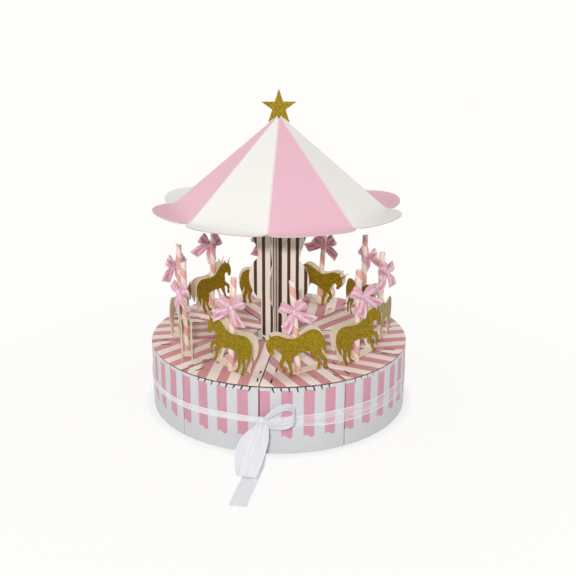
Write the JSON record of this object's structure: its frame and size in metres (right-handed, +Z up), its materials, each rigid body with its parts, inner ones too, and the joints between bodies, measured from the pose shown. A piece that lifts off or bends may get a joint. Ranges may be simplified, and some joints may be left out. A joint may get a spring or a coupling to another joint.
{
  "type": "carousel favour box centrepiece",
  "caption": "Paper carousel of wedge favour boxes tied in a ring, with glitter unicorns on straw poles round a crossed card column under a striped petal canopy with a star.",
  "frame": {"origin": "centre of the ring, on the surface that the carousel stands on", "axes": "+Z up, -Y the front with the ribbon's knot, +X to the right seen from the front"},
  "size_m": [0.2718, 0.3645, 0.3281],
  "materials": {
    "striped_card": "satin printed card, pink and white stripes",
    "gold_glitter_card": "gold glitter face, cream back",
    "paper_straw": "spiral wound paper, cream and pink",
    "pink_satin": "satin ribbon",
    "column_card": "printed card, brown and cream stripes",
    "canopy_card": "matt card, pink and white panels",
    "sheer_ribbon": "sheer white organza ribbon"
  },
  "bodies": {
    "stand": {"column_panel_a": "column_card", "column_panel_b": "column_card", "ribbon_band": "sheer_ribbon", "ribbon_knot": "sheer_ribbon", "ribbon_loop_side": "sheer_ribbon", "ribbon_loop_front": "sheer_ribbon", "ribbon_tail": "sheer_ribbon"},
    "roof": {"canopy": "canopy_card", "star_topper": "gold_glitter_card"},
    "slice_01": {"slice_tray_01": "striped_card"},
    "lid_01": {"slice_lid_01": "striped_card", "unicorn_01": "gold_glitter_card", "pole_straw_01": "paper_straw", "pole_bow_01": "pink_satin"},
    "slice_02": {"slice_tray_02": "striped_card"},
    "lid_02": {"slice_lid_02": "striped_card", "unicorn_02": "gold_glitter_card", "pole_straw_02": "paper_straw", "pole_bow_02": "pink_satin"},
    "slice_03": {"slice_tray_03": "striped_card"},
    "lid_03": {"slice_lid_03": "striped_card", "unicorn_03": "gold_glitter_card", "pole_straw_03": "paper_straw", "pole_bow_03": "pink_satin"},
    "slice_04": {"slice_tray_04": "striped_card"},
    "lid_04": {"slice_lid_04": "striped_card", "unicorn_04": "gold_glitter_card", "pole_straw_04": "paper_straw", "pole_bow_04": "pink_satin"},
    "slice_05": {"slice_tray_05": "striped_card"},
    "lid_05": {"slice_lid_05": "striped_card", "unicorn_05": "gold_glitter_card", "pole_straw_05": "paper_straw", "pole_bow_05": "pink_satin"},
    "slice_06": {"slice_tray_06": "striped_card"},
    "lid_06": {"slice_lid_06": "striped_card", "unicorn_06": "gold_glitter_card", "pole_straw_06": "paper_straw", "pole_bow_06": "pink_satin"},
    "slice_07": {"slice_tray_07": "striped_card"},
    "lid_07": {"slice_lid_07": "striped_card", "unicorn_07": "gold_glitter_card", "pole_straw_07": "paper_straw", "pole_bow_07": "pink_satin"},
    "slice_08": {"slice_tray_08": "striped_card"},
    "lid_08": {"slice_lid_08": "striped_card", "unicorn_08": "gold_glitter_card", "pole_straw_08": "paper_straw", "pole_bow_08": "pink_satin"},
    "slice_09": {"slice_tray_09": "striped_card"},
    "lid_09": {"slice_lid_09": "striped_card", "unicorn_09": "gold_glitter_card", "pole_straw_09": "paper_straw", "pole_bow_09": "pink_satin"},
    "slice_10": {"slice_tray_10": "striped_card"},
    "lid_10": {"slice_lid_10": "striped_card", "unicorn_10": "gold_glitter_card", "pole_straw_10": "paper_straw", "pole_bow_10": "pink_satin"}
  },
  "joints": [
    {"name": "canopy_lift", "type": "slide", "parent": "stand", "child": "roof", "axis": [0, 0, 1], "range_m": [0, 0.06]},
    {"name": "slice_01_lift", "type": "slide", "parent": "stand", "child": "slice_01", "axis": [0, 0, 1], "range_m": [0, 0.036]},
    {"name": "lid_01_open", "type": "hinge", "parent": "slice_01", "child": "lid_01", "pos_m": [0.03703, -0.07092, 0.069], "axis": [-0.4695, 0.8829, 0], "range_deg": [0, 6]},
    {"name": "slice_02_lift", "type": "slide", "parent": "stand", "child": "slice_02", "axis": [0, 0, 1], "range_m": [0, 0.036]},
    {"name": "lid_02_open", "type": "hinge", "parent": "slice_02", "child": "lid_02", "pos_m": [0.07164, -0.03561, 0.069], "axis": [-0.8988, 0.4384, 0], "range_deg": [0, 6]},
    {"name": "slice_03_lift", "type": "slide", "parent": "stand", "child": "slice_03", "axis": [0, 0, 1], "range_m": [0, 0.036]},
    {"name": "lid_03_open", "type": "hinge", "parent": "slice_03", "child": "lid_03", "pos_m": [0.07889, 0.0133, 0.069], "axis": [-0.9848, -0.1736, 0], "range_deg": [0, 6]},
    {"name": "slice_04_lift", "type": "slide", "parent": "stand", "child": "slice_04", "axis": [0, 0, 1], "range_m": [0, 0.036]},
    {"name": "lid_04_open", "type": "hinge", "parent": "slice_04", "child": "lid_04", "pos_m": [0.056, 0.05713, 0.069], "axis": [-0.6947, -0.7193, 0], "range_deg": [0, 6]},
    {"name": "slice_05_lift", "type": "slide", "parent": "stand", "child": "slice_05", "axis": [0, 0, 1], "range_m": [0, 0.036]},
    {"name": "lid_05_open", "type": "hinge", "parent": "slice_05", "child": "lid_05", "pos_m": [0.01173, 0.07914, 0.069], "axis": [-0.1392, -0.9903, 0], "range_deg": [0, 6]},
    {"name": "slice_06_lift", "type": "slide", "parent": "stand", "child": "slice_06", "axis": [0, 0, 1], "range_m": [0, 0.036]},
    {"name": "lid_06_open", "type": "hinge", "parent": "slice_06", "child": "lid_06", "pos_m": [-0.03703, 0.07092, 0.069], "axis": [0.4695, -0.8829, 0], "range_deg": [0, 6]},
    {"name": "slice_07_lift", "type": "slide", "parent": "stand", "child": "slice_07", "axis": [0, 0, 1], "range_m": [0, 0.036]},
    {"name": "lid_07_open", "type": "hinge", "parent": "slice_07", "child": "lid_07", "pos_m": [-0.07164, 0.03561, 0.069], "axis": [0.8988, -0.4384, 0], "range_deg": [0, 6]},
    {"name": "slice_08_lift", "type": "slide", "parent": "stand", "child": "slice_08", "axis": [0, 0, 1], "range_m": [0, 0.036]},
    {"name": "lid_08_open", "type": "hinge", "parent": "slice_08", "child": "lid_08", "pos_m": [-0.07889, -0.0133, 0.069], "axis": [0.9848, 0.1736, 0], "range_deg": [0, 6]},
    {"name": "slice_09_lift", "type": "slide", "parent": "stand", "child": "slice_09", "axis": [0, 0, 1], "range_m": [0, 0.036]},
    {"name": "lid_09_open", "type": "hinge", "parent": "slice_09", "child": "lid_09", "pos_m": [-0.056, -0.05713, 0.069], "axis": [0.6947, 0.7193, 0], "range_deg": [0, 6]},
    {"name": "slice_10_lift", "type": "slide", "parent": "stand", "child": "slice_10", "axis": [0, 0, 1], "range_m": [0, 0.036]},
    {"name": "lid_10_open", "type": "hinge", "parent": "slice_10", "child": "lid_10", "pos_m": [-0.01173, -0.07914, 0.069], "axis": [0.1392, 0.9903, 0], "range_deg": [0, 6]}
  ]
}
